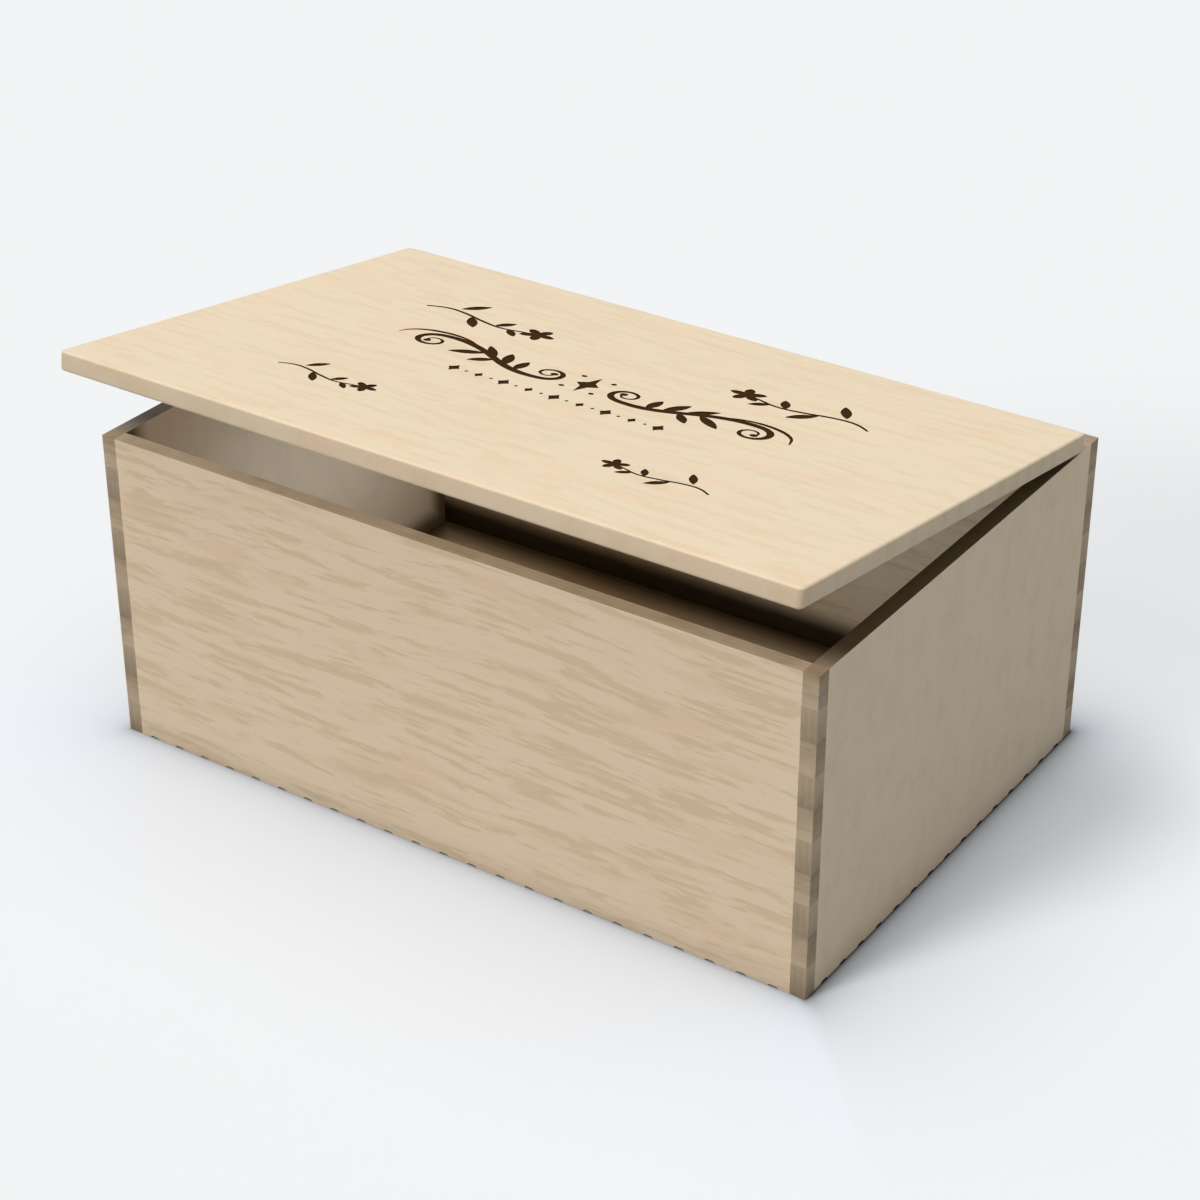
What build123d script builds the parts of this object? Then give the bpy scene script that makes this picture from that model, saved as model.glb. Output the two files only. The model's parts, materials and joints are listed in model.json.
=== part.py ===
from build123d import *
import math
import os

# Keepsake box of plywood panels, joined with glued fingers, with a hinged overhanging lid.
#
# Millimetres. +X runs along the box, the front faces -Y and +Z is up. The origin is the centre
# of the underside. The lid is drawn ajar, turned about its hinge pins, as the box stands.

# Case
case_width = 300.0  # outside, along X
case_depth = 200.0  # outside, along Y
case_height = 126.0  # from the table to the rim
wall = 6.0  # sheet of the front, back and side panels
floor_thickness = 6.0  # sheet of the floor panel
finger_pitch = 12.5  # wanted width of a finger; the true one divides the edge evenly
glue_gap = 0.05  # room for glue between two pieces of wood
pocket_skin = 1.5  # wood left outside each blind pocket for a floor finger
relief_width = 4.6  # hollow under each finger boundary, along the wall
relief_height = 0.7  # the same hollow, above the table
relief_slope = 35.0  # degrees, at the hollow's two ends

# Lid
lid_thickness = 7.4
lid_side_overhang = 1.5  # beyond each side panel
lid_front_overhang = 19.0  # beyond the front panel when shut: the lip for the fingers
lid_edge_radius = 1.1  # rounding round the top and the underside
lid_corner_radius = 2.2  # rounding of the four corners, seen from above
lid_gap = 0.8  # between the shut lid and the rim
lid_ajar = 8.75  # degrees open, as drawn

# Hinge rail: the strip along the inside of the back that carries the hinges
rail_height = 10.0
rail_behind_pin = 7.8  # from the hinge pin back to the back panel
rail_lip = 2.3  # wood in front of the hinge leaf
rail_chamfer = 1.0  # along its lower front edge

# Butt hinges
hinge_length = 30.0
hinge_inset = 49.0  # from the inside of a side panel to the middle of its hinge
leaf_width = 9.5  # from the pin's axis to the leaf's free edge
leaf_thickness = 0.9
leaf_corner = 0.8  # rounding of the leaf's free corners
barrel_diameter = 3.0
barrel_clearance = 0.3  # between the barrel and any wood, or the other leaf
knuckle_gap = 0.3  # between neighbouring knuckles, along the pin
knuckle_count = 3  # shared in turn, with the end ones on the case leaf
pin_diameter = 1.6
pin_press_gap = 0.02  # radial, in the knuckles that hold the pin
pin_running_gap = 0.05  # radial, in the knuckles that turn on the pin
mortise_fit = 0.05  # between a leaf and the recess it lies in

# Countersunk screws
screw_cover = 1.4  # wood left between the screws' ends and the top of the lid
screw_head_diameter = 3.4
screw_shank_diameter = 2.0
screw_spread = 18.0  # between the two screws of a leaf
screw_edge = 3.6  # from the leaf's free edge to the screws
screw_fit = 0.05  # between a screw and its hole

# Sizes that follow from those above
inner_width = case_width - 2 * wall
inner_depth = case_depth - 2 * wall
inner_back = inner_depth / 2

barrel_radius = barrel_diameter / 2
barrel_room = barrel_radius + barrel_clearance
pin_radius = pin_diameter / 2
pin_y = inner_back - rail_behind_pin
pin_z = case_height + lid_gap / 2
screw_length = lid_thickness - screw_cover

rail_depth = rail_behind_pin + leaf_width + rail_lip
lid_width = case_width + 2 * lid_side_overhang
lid_depth = case_depth / 2 + lid_front_overhang + pin_y - barrel_room

past = 1.0  # how far a cut starts outside what it cuts

# Both halves of a hinge are drawn about the pin. The case's frame is level, and the lid's is
# the same frame turned by the angle at which the lid stands open.
ajar = math.radians(lid_ajar)
pin_centre = (0, pin_y, pin_z)
case_frame = Plane(origin=pin_centre, x_dir=(1, 0, 0), z_dir=(0, 0, 1))
lid_frame = Plane(origin=pin_centre, x_dir=(1, 0, 0), z_dir=(0, math.sin(ajar), math.cos(ajar)))

hinge_x = inner_width / 2 - hinge_inset
hinges = {"left": -hinge_x, "right": hinge_x}
knuckle_pitch = hinge_length / knuckle_count
case_knuckles = range(0, knuckle_count, 2)
lid_knuckles = range(1, knuckle_count, 2)
above, below = 1, -1  # the side of the pin on which a leaf lies while the lid is shut


def finger_count(edge):
    """An even number of fingers, so that one panel starts the row and its neighbour ends it."""
    return 2 * max(1, round(edge / finger_pitch / 2))


def floor_fingers(edge):
    """Centres of the floor's fingers along an edge: every second cell, clear of the corners."""
    pitch = edge / finger_count(edge)
    cells = [cell for cell in range(1, finger_count(edge), 2) if (cell + 1) * pitch <= edge - wall]
    return [(cell + 0.5) * pitch - edge / 2 for cell in cells]


def finger_boundaries(edge):
    """Places along an edge where one cell ends and the next starts."""
    return [cell * edge / finger_count(edge) - edge / 2 for cell in range(1, finger_count(edge))]


def wall_panel(length, outside, inwards, given_away):
    """One wall with its corner fingers, drawn from its outer face.

    outside is the plane of that face, with its x along the wall and its y up, and inwards is
    the sign of the way into the box along its z. given_away lists the corner cells, counted
    from the bottom, that belong to the neighbouring walls.
    """
    corner_pitch = case_height / finger_count(case_height)
    socket = wall + glue_gap
    floor_slot = floor_thickness + glue_gap
    with BuildPart() as panel:
        with BuildSketch(outside):
            with Locations((0, case_height / 2)):
                Rectangle(length, case_height)
            for cell in given_away:
                for end in (-1, 1):
                    with Locations((end * (length - socket + past) / 2, (cell + 0.5) * corner_pitch)):
                        Rectangle(socket + past, corner_pitch + glue_gap, mode=Mode.SUBTRACT)
            with Locations(*[(place, relief_height / 2) for place in finger_boundaries(length)]):
                Trapezoid(relief_width, relief_height, relief_slope, mode=Mode.SUBTRACT)
        extrude(amount=inwards * wall)
        # The floor's fingers end in blind pockets, open below and towards the inside.
        with BuildSketch(outside.offset(inwards * pocket_skin)):
            with Locations(*[(centre, (floor_slot - past) / 2) for centre in floor_fingers(length)]):
                Rectangle(length / finger_count(length), floor_slot + past)
        extrude(amount=inwards * (wall - pocket_skin), mode=Mode.SUBTRACT)
    return panel


def side_view(frame, x):
    """The plane across the hinge line at x, with its x to the back and its y up."""
    return Plane(origin=frame.from_local_coords((x, 0, 0)), x_dir=frame.y_dir, z_dir=frame.x_dir)


def screw_places():
    """The four screws that hold one leaf of each hinge, as x and y in the hinge's frame."""
    row = screw_edge - leaf_width
    return [(centre + side * screw_spread / 2, row) for centre in hinges.values() for side in (-1, 1)]


def screw_bodies(frame, side, spare):
    """The screws of one leaf of each hinge, or their holes where spare is more than nothing.

    Each is turned about its own axis, with a plain shank in the wood. Its head is level with the
    face of the leaf that meets the other leaf, and is as deep as the leaf is thick.
    """
    head = screw_head_diameter / 2 + spare
    shank = screw_shank_diameter / 2 + spare
    face = lid_gap / 2
    neck = face + leaf_thickness
    end = face + screw_length + spare
    outline = [(0, face), (head, face), (shank, neck), (shank, end), (0, end)]
    with BuildPart() as bodies:
        for place in screw_places():
            centre = frame.from_local_coords((*place, 0))
            with BuildSketch(Plane(origin=centre, x_dir=frame.x_dir, z_dir=-frame.y_dir)):
                with BuildLine():
                    Polyline(*[(x, side * y) for x, y in outline], close=True)
                make_face()
            revolve(axis=Axis(centre, frame.z_dir))
    return bodies


def hinge_leaf(frame, side, centre, knuckles, bore_radius):
    """One leaf with its knuckles, on its side of the pin."""
    meeting_face = side * lid_gap / 2
    plate_width = leaf_width - barrel_room
    holes = screw_bodies(frame, side, screw_fit)
    with BuildPart() as leaf:
        with BuildSketch(frame.offset(meeting_face)):
            with Locations((centre, -barrel_room - plate_width / 2)):
                plate = Rectangle(hinge_length, plate_width)
            fillet(plate.vertices().group_by(Axis.Y)[0], radius=leaf_corner)
        extrude(amount=side * leaf_thickness)
        for knuckle in knuckles:
            start = centre - hinge_length / 2 + knuckle * knuckle_pitch + knuckle_gap / 2
            with BuildSketch(side_view(frame, start)):
                with Locations((-barrel_room / 2, meeting_face + side * leaf_thickness / 2)):
                    Rectangle(barrel_room, leaf_thickness)
                Circle(barrel_radius)
                Circle(bore_radius, mode=Mode.SUBTRACT)
            extrude(amount=knuckle_pitch - knuckle_gap)
        add(holes.part, mode=Mode.SUBTRACT)
    return leaf


def leaf_mortises(frame, side):
    """What is cut away for the leaves: recesses from the meeting face, and the screws' holes."""
    reach = leaf_width + mortise_fit
    holes = screw_bodies(frame, side, screw_fit)
    with BuildPart() as recesses:
        with BuildSketch(frame.offset(side * lid_gap / 2)):
            with Locations(*[(centre, -reach / 2) for centre in hinges.values()]):
                Rectangle(hinge_length + 2 * mortise_fit, reach)
        extrude(amount=side * (leaf_thickness + mortise_fit))
        add(holes.part)
    return recesses


# Walls. The front and back own the top cell of every corner, and the sides own the bottom one.
corner_cells = finger_count(case_height)
even_cells = range(0, corner_cells, 2)
odd_cells = range(1, corner_cells, 2)

front_plane = Plane(origin=(0, -case_depth / 2, 0), x_dir=(1, 0, 0), z_dir=(0, -1, 0))
back_plane = Plane(origin=(0, case_depth / 2, 0), x_dir=(1, 0, 0), z_dir=(0, -1, 0))
left_plane = Plane(origin=(-case_width / 2, 0, 0), x_dir=(0, 1, 0), z_dir=(1, 0, 0))
right_plane = Plane(origin=(case_width / 2, 0, 0), x_dir=(0, 1, 0), z_dir=(1, 0, 0))

pieces = {
    "front_panel": wall_panel(case_width, front_plane, -1, even_cells),
    "back_panel": wall_panel(case_width, back_plane, 1, even_cells),
    "left_panel": wall_panel(case_depth, left_plane, 1, odd_cells),
    "right_panel": wall_panel(case_depth, right_plane, -1, odd_cells),
}

# Floor. Its plate lies between the walls and its fingers reach into their pockets.
finger_reach = wall - pocket_skin - glue_gap
with BuildPart() as floor_panel:
    with BuildSketch():
        Rectangle(inner_width - 2 * glue_gap, inner_depth - 2 * glue_gap)
        with Locations(*[(x, 0) for x in floor_fingers(case_width)]):
            Rectangle(case_width / finger_count(case_width) - glue_gap, inner_depth + 2 * finger_reach)
        with Locations(*[(0, y) for y in floor_fingers(case_depth)]):
            Rectangle(inner_width + 2 * finger_reach, case_depth / finger_count(case_depth) - glue_gap)
    extrude(amount=floor_thickness)
pieces["floor_panel"] = floor_panel

# Hinge rail, glued to the back and between the sides, level with the rim.
rail_mortises = leaf_mortises(case_frame, below)
with BuildPart() as hinge_rail:
    with BuildSketch(Plane.XY.offset(case_height - rail_height)):
        with Locations((0, inner_back - (rail_depth + glue_gap) / 2)):
            Rectangle(inner_width - 2 * glue_gap, rail_depth - glue_gap)
    extrude(amount=rail_height)
    lower_edges = hinge_rail.edges().filter_by(Axis.X).group_by(Axis.Z)[0]
    chamfer(lower_edges.sort_by(Axis.Y)[0], length=rail_chamfer)
    add(rail_mortises.part, mode=Mode.SUBTRACT)
    # A cove under each barrel.
    cove_length = hinge_length + 2 * barrel_clearance
    for centre in hinges.values():
        with BuildSketch(side_view(case_frame, centre - cove_length / 2)):
            Circle(barrel_room)
        extrude(amount=cove_length, mode=Mode.SUBTRACT)
pieces["hinge_rail"] = hinge_rail

# Lid, one board with rounded edges.
lid_mortises = leaf_mortises(lid_frame, above)
with BuildPart() as lid_panel:
    with BuildSketch(lid_frame.offset(lid_gap / 2)):
        with Locations((0, -barrel_room - lid_depth / 2)):
            RectangleRounded(lid_width, lid_depth, lid_corner_radius)
    extrude(amount=lid_thickness)
    through_lid = Axis(lid_frame.origin, lid_frame.z_dir)
    faces = lid_panel.faces().sort_by(through_lid)
    fillet(faces[0].edges() + faces[-1].edges(), radius=lid_edge_radius)
    add(lid_mortises.part, mode=Mode.SUBTRACT)
pieces["lid_panel"] = lid_panel

# Hinges. The case leaf holds the pin, and the lid leaf turns on it.
for hand, centre in hinges.items():
    held = pin_radius + pin_press_gap
    running = pin_radius + pin_running_gap
    pieces[f"{hand}_hinge_case_leaf"] = hinge_leaf(case_frame, below, centre, case_knuckles, held)
    pieces[f"{hand}_hinge_lid_leaf"] = hinge_leaf(lid_frame, above, centre, lid_knuckles, running)
    with BuildPart() as hinge_pin:
        with BuildSketch(side_view(case_frame, centre - hinge_length / 2)):
            Circle(pin_radius)
        extrude(amount=hinge_length)
    pieces[f"{hand}_hinge_pin"] = hinge_pin

pieces["case_hinge_screws"] = screw_bodies(case_frame, below, 0)
pieces["lid_hinge_screws"] = screw_bodies(lid_frame, above, 0)

os.makedirs("parts", exist_ok=True)
for name, piece in pieces.items():
    piece.part.label = name
    export_step(piece.part, f"parts/{name}.step")

print("hinge line at y", pin_y, "z", pin_z, "lid", lid_width, lid_depth, "rail", rail_depth)
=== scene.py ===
"""Looks of a laser-cut plywood keepsake box with an engraved lid that stands ajar.

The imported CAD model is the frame: the walls, floor panel, hinge rail and hinges are its own nodes,
and get their finishes here. The lid is the CAD lid with an engraving sunk into its top, and the
hinge screws get their slots. Places and sizes are in metres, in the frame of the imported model,
apart from the ornament's and the patterns', which are in millimetres.
"""

import json
import logging
import math
from dataclasses import dataclass
from enum import Enum
from functools import partial
from typing import Any, Callable, Sequence

import bmesh
import bpy
from mathutils import Matrix, Vector
from mathutils.geometry import delaunay_2d_cdt

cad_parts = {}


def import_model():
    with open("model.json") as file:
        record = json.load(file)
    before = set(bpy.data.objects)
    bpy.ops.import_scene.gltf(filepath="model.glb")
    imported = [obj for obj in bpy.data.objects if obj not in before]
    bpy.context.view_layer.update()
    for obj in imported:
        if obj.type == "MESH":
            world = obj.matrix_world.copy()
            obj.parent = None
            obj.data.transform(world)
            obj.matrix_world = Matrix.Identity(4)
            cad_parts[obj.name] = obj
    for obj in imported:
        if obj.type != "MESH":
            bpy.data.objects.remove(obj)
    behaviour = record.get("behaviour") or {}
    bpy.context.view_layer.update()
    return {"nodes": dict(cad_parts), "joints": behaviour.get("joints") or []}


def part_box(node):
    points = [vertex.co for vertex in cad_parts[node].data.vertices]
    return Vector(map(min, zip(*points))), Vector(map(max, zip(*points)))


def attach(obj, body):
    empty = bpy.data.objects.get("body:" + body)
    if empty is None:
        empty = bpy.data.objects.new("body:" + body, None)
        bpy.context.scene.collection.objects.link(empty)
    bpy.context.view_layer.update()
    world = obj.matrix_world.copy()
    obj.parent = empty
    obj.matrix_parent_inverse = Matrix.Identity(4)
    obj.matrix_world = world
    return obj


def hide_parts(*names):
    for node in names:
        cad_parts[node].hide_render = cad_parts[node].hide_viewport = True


LOG = logging.getLogger("keepsake_box")

MM = 0.001  # one millimetre, in the metres of the frame
WELD = 1e-6  # m within which corners that the export split are one again
WHITE = (1.0, 1.0, 1.0, 1.0)

Point = tuple[float, float]
Outline = list[Point]
Socket = bpy.types.NodeSocket
AddNode = Callable[..., bpy.types.Node]


# ------------------------------------------------------------------ small tools


def linear(hex_colour: str) -> tuple[float, float, float, float]:
    """Turns an sRGB hex colour into the linear RGBA that a shader socket takes.

    Args:
        hex_colour: six hex digits, such as "ECD8BB".

    Returns:
        Linear red, green and blue, and an alpha of 1.
    """
    channels = [int(hex_colour[place : place + 2], 16) / 255 for place in (0, 2, 4)]
    curved = [c / 12.92 if c <= 0.04045 else ((c + 0.055) / 1.055) ** 2.4 for c in channels]
    return (curved[0], curved[1], curved[2], 1.0)


def add_node(
    tree: bpy.types.NodeTree,
    kind: str,
    inputs: dict[Any, Any] | None = None,
    **settings: Any,
) -> bpy.types.Node:
    """Adds one node with its settings and its inputs.

    Args:
        tree: the node tree that it goes into.
        kind: the node's Blender type.
        inputs: a value or an output socket for each input, by name or number.
        settings: the node's own properties, such as an operation.

    Returns:
        The new node.
    """
    node = tree.nodes.new(kind)
    for name, value in settings.items():
        setattr(node, name, value)
    for key, value in (inputs or {}).items():
        if isinstance(value, bpy.types.NodeSocket):
            tree.links.new(value, node.inputs[key])
        else:
            node.inputs[key].default_value = value
    return node


def new_material(name: str) -> tuple[bpy.types.Material, AddNode]:
    """Makes a material with an empty node tree.

    Args:
        name: the material's name.

    Returns:
        The material, and add_node bound to its tree.
    """
    material = bpy.data.materials.new(name)
    material.use_nodes = True
    material.node_tree.nodes.clear()
    return material, partial(add_node, material.node_tree)


def dress(piece: bpy.types.Object, *materials: bpy.types.Material) -> None:
    """Gives a piece its materials.

    Args:
        piece: what is dressed.
        materials: its materials, in the order of its slots.
    """
    slots = piece.data.materials
    for number, material in enumerate(materials):
        if number < len(slots):
            slots[number] = material
        else:
            slots.append(material)


def crease(mesh: bpy.types.Mesh, degrees: float) -> None:
    """Sharpens the edges of a reworked mesh, in place of its imported normals.

    Args:
        mesh: the reworked mesh.
        degrees: the angle between two faces from which their edge is sharp.
    """
    imported = mesh.attributes.get("custom_normal")
    if imported:
        mesh.attributes.remove(imported)
    mesh.set_sharp_from_angle(angle=math.radians(degrees))


def new_piece(name: str, mesh: bpy.types.Mesh) -> bpy.types.Object:
    """Puts a mesh into the scene as a piece.

    Args:
        name: the piece's name.
        mesh: its shape.

    Returns:
        The new piece.
    """
    piece = bpy.data.objects.new(name, mesh)
    bpy.context.scene.collection.objects.link(piece)
    return piece


# ------------------------------------------------------------------ finishes


class Axis(Enum):
    """A direction of the frame, as the place of its number in a vector."""

    X = 0
    Y = 1
    Z = 2


@dataclass(frozen=True)
class Spot:
    """The spot that a shader colours: where it is, and which way its face looks."""

    place: Socket  # where it is, as a vector in metres
    where: Sequence[Socket]  # its X, Y and Z
    off: Sequence[Socket]  # the same without their signs: how far off the box's middle it is
    facing: Sequence[Socket]  # X, Y and Z of the way that its face looks
    square: Sequence[Socket]  # the same without their signs

    @classmethod
    def of(cls, node: AddNode) -> "Spot":
        """Adds the nodes that tell where a spot is and which way it faces.

        Args:
            node: add_node bound to the material's tree.

        Returns:
            The spot.
        """
        source = node("ShaderNodeTexCoord").outputs
        split = []
        for vector in (source["Object"], source["Normal"]):
            bare = node("ShaderNodeVectorMath", {0: vector}, operation="ABSOLUTE").outputs[0]
            split += [node("ShaderNodeSeparateXYZ", {0: part}).outputs for part in (vector, bare)]
        return cls(source["Object"], *split)


@dataclass(frozen=True)
class Veneer:
    """Pale hardwood such as basswood or birch, sanded to a matt face.

    To the eye it is an even straw colour with soft flame-shaped streaks along the grain, some
    greyer and some pinker, and very fine pores.
    """

    base: str  # the clear wood between the streaks
    streak: str  # the greyer latewood
    flush: str  # the pinker patches
    streak_share: float  # how strongly the streaks show, 0 to 1
    flush_share: float  # how strongly the patches show, 0 to 1
    streak_length: float = 38.0  # mm along the grain
    streak_width: float = 2.7  # mm across the grain
    pore_length: float = 6.0  # mm
    pore_width: float = 0.5  # mm; real pores are 0.05 mm wide, drawn coarser so that they show
    wander: float = 14.0  # mm that the grain strays sideways on its way along the board
    bend: Point = (120.0, 50.0)  # mm along and across the grain from one bend to the next
    raggedness: float = 0.3  # how much of a fine noise frays the streaks

    def grain(
        self, node: AddNode, place: Socket, along: Axis, across: Axis, seed: float
    ) -> tuple[Socket, Socket]:
        """Adds the wood's colour and height to a material.

        Args:
            node: add_node bound to the material's tree.
            place: where on the piece the shader is, in metres.
            along: the grain's direction.
            across: the direction across the grain, in the face.
            seed: moves the pattern, so that no two boards are alike.

        Returns:
            The colour, and a height from about 0 to 1.
        """

        def noise(
            start: Socket, length: float, width: float, shift: float, detail: float
        ) -> Socket:
            """Adds a noise that is drawn out along the grain.

            Args:
                start: where on the piece the shader is.
                length: mm of its features along the grain.
                width: mm of its features across the grain.
                shift: moves it away from the wood's other noises.
                detail: how many finer noises it holds.

            Returns:
                The noise, from 0 to 1.
            """
            scale = [1 / (6 * width * MM)] * 3
            scale[along.value] = 1 / (length * MM)
            scale[across.value] = 1 / (width * MM)
            stretched = node(
                "ShaderNodeMapping",
                {"Vector": start, "Scale": scale, "Location": (seed + shift,) * 3},
            )
            return node(
                "ShaderNodeTexNoise",
                {"Vector": stretched.outputs[0], "Scale": 1.0, "Detail": detail},
            ).outputs[0]

        def lay(
            tone: str, under: Any, patches: Socket, span: Point, share: float, how: str = "MIX"
        ) -> Socket:
            """Lays one tone of the wood over another, where a noise is high.

            Args:
                tone: the upper tone.
                under: the colour below.
                patches: the noise.
                span: where the noise begins to show the tone, and where it shows it fully.
                share: how strongly it then shows.
                how: the way in which the two are blended.

            Returns:
                The new colour.
            """
            shown = node(
                "ShaderNodeMapRange",
                {"Value": patches, "From Min": span[0], "From Max": span[1], "To Max": share},
                interpolation_type="SMOOTHSTEP",
            ).outputs[0]
            return node(
                "ShaderNodeMix",
                {0: shown, 6: under, 7: linear(tone)},
                data_type="RGBA",
                blend_type=how,
            ).outputs[2]

        length, width = self.streak_length, self.streak_width
        sideways = [0.0, 0.0, 0.0]
        sideways[across.value] = self.wander * MM
        bent = node(
            "ShaderNodeVectorMath",
            {0: noise(place, *self.bend, 0.0, 1.0), 1: sideways, 2: place},
            operation="MULTIPLY_ADD",
        ).outputs[0]

        # A long noise, roughened by a short one before its threshold, gives ragged flames.
        height = node(
            "ShaderNodeMath",
            {
                0: noise(bent, length / 5, width / 3, 7.0, 1.0),
                1: self.raggedness,
                2: noise(bent, length, width, 3.0, 2.0),
            },
            operation="MULTIPLY_ADD",
        ).outputs[0]
        pinker = noise(bent, 1.1 * length, 1.6 * width, 19.0, 3.0)
        pores = noise(bent, self.pore_length, self.pore_width, 31.0, 1.0)

        colour = lay(self.flush, linear(self.base), pinker, (0.5, 0.66), self.flush_share)
        colour = lay(self.streak, colour, height, (0.65, 0.79), self.streak_share)
        colour = lay(
            self.streak, colour, pores, (0.58, 0.75), 0.2 * self.streak_share, "MULTIPLY"
        )
        return colour, height


@dataclass(frozen=True)
class SandedBoard:
    """A board or strip of one wood, sanded or planed, with no coat or a thin matt one.

    To the eye: matt, with the grain only just felt, and slightly glossier on the clear wood.
    """

    name: str
    wood: Veneer
    along: Axis = Axis.X
    across: Axis = Axis.Y
    seed: float = 0.0
    roughness: float = 0.6
    relief: float = 0.03  # mm between a streak and the clear wood
    tilt: float = 0.0  # radians that the board is turned about X
    edge_tone: float = 1.0  # what the board's sawn edges keep of the faces' lightness
    ior: float = 1.5  # typical of cellulose and of a clear coat

    def material(self) -> bpy.types.Material:
        """Builds the material.

        Returns:
            The material.
        """
        material, node = new_material(self.name)
        coordinates = node("ShaderNodeTexCoord").outputs
        place = coordinates["Object"]
        if self.tilt:
            place = node(
                "ShaderNodeMapping", {"Vector": place, "Rotation": (self.tilt, 0.0, 0.0)}
            ).outputs[0]
        colour, height = self.wood.grain(node, place, self.along, self.across, self.seed)
        if self.edge_tone < 1.0:
            level = Matrix.Rotation(-self.tilt, 3, "X") @ Vector((0, 0, 1))
            facing = node(
                "ShaderNodeVectorMath",
                {0: coordinates["Normal"], 1: level},
                operation="DOT_PRODUCT",
            ).outputs["Value"]
            flat = node("ShaderNodeMath", {0: facing}, operation="ABSOLUTE").outputs[0]
            kept = node(
                "ShaderNodeMapRange",
                {"Value": flat, "From Min": 0.3, "From Max": 0.75, "To Min": self.edge_tone},
            ).outputs[0]
            colour = node(
                "ShaderNodeVectorMath", {0: colour, 3: kept}, operation="SCALE"
            ).outputs[0]
        self.finish(node, colour, height)
        return material

    def finish(self, node: AddNode, colour: Socket, height: Socket) -> None:
        """Joins colour and height to a matt surface.

        Args:
            node: add_node bound to the material's tree.
            colour: the wood's colour.
            height: its height, from about 0 to 1.
        """
        roughness = node(
            "ShaderNodeMapRange",
            {
                "Value": height,
                "From Min": 0.4,
                "From Max": 0.8,
                "To Min": self.roughness - 0.05,
                "To Max": self.roughness + 0.08,
            },
        ).outputs[0]
        bump = node(
            "ShaderNodeBump", {"Height": height, "Strength": 0.6, "Distance": self.relief * MM}
        ).outputs[0]
        surface = node(
            "ShaderNodeBsdfPrincipled",
            {"Base Color": colour, "Roughness": roughness, "Normal": bump, "IOR": self.ior},
        )
        node("ShaderNodeOutputMaterial", {"Surface": surface.outputs[0]})


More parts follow.
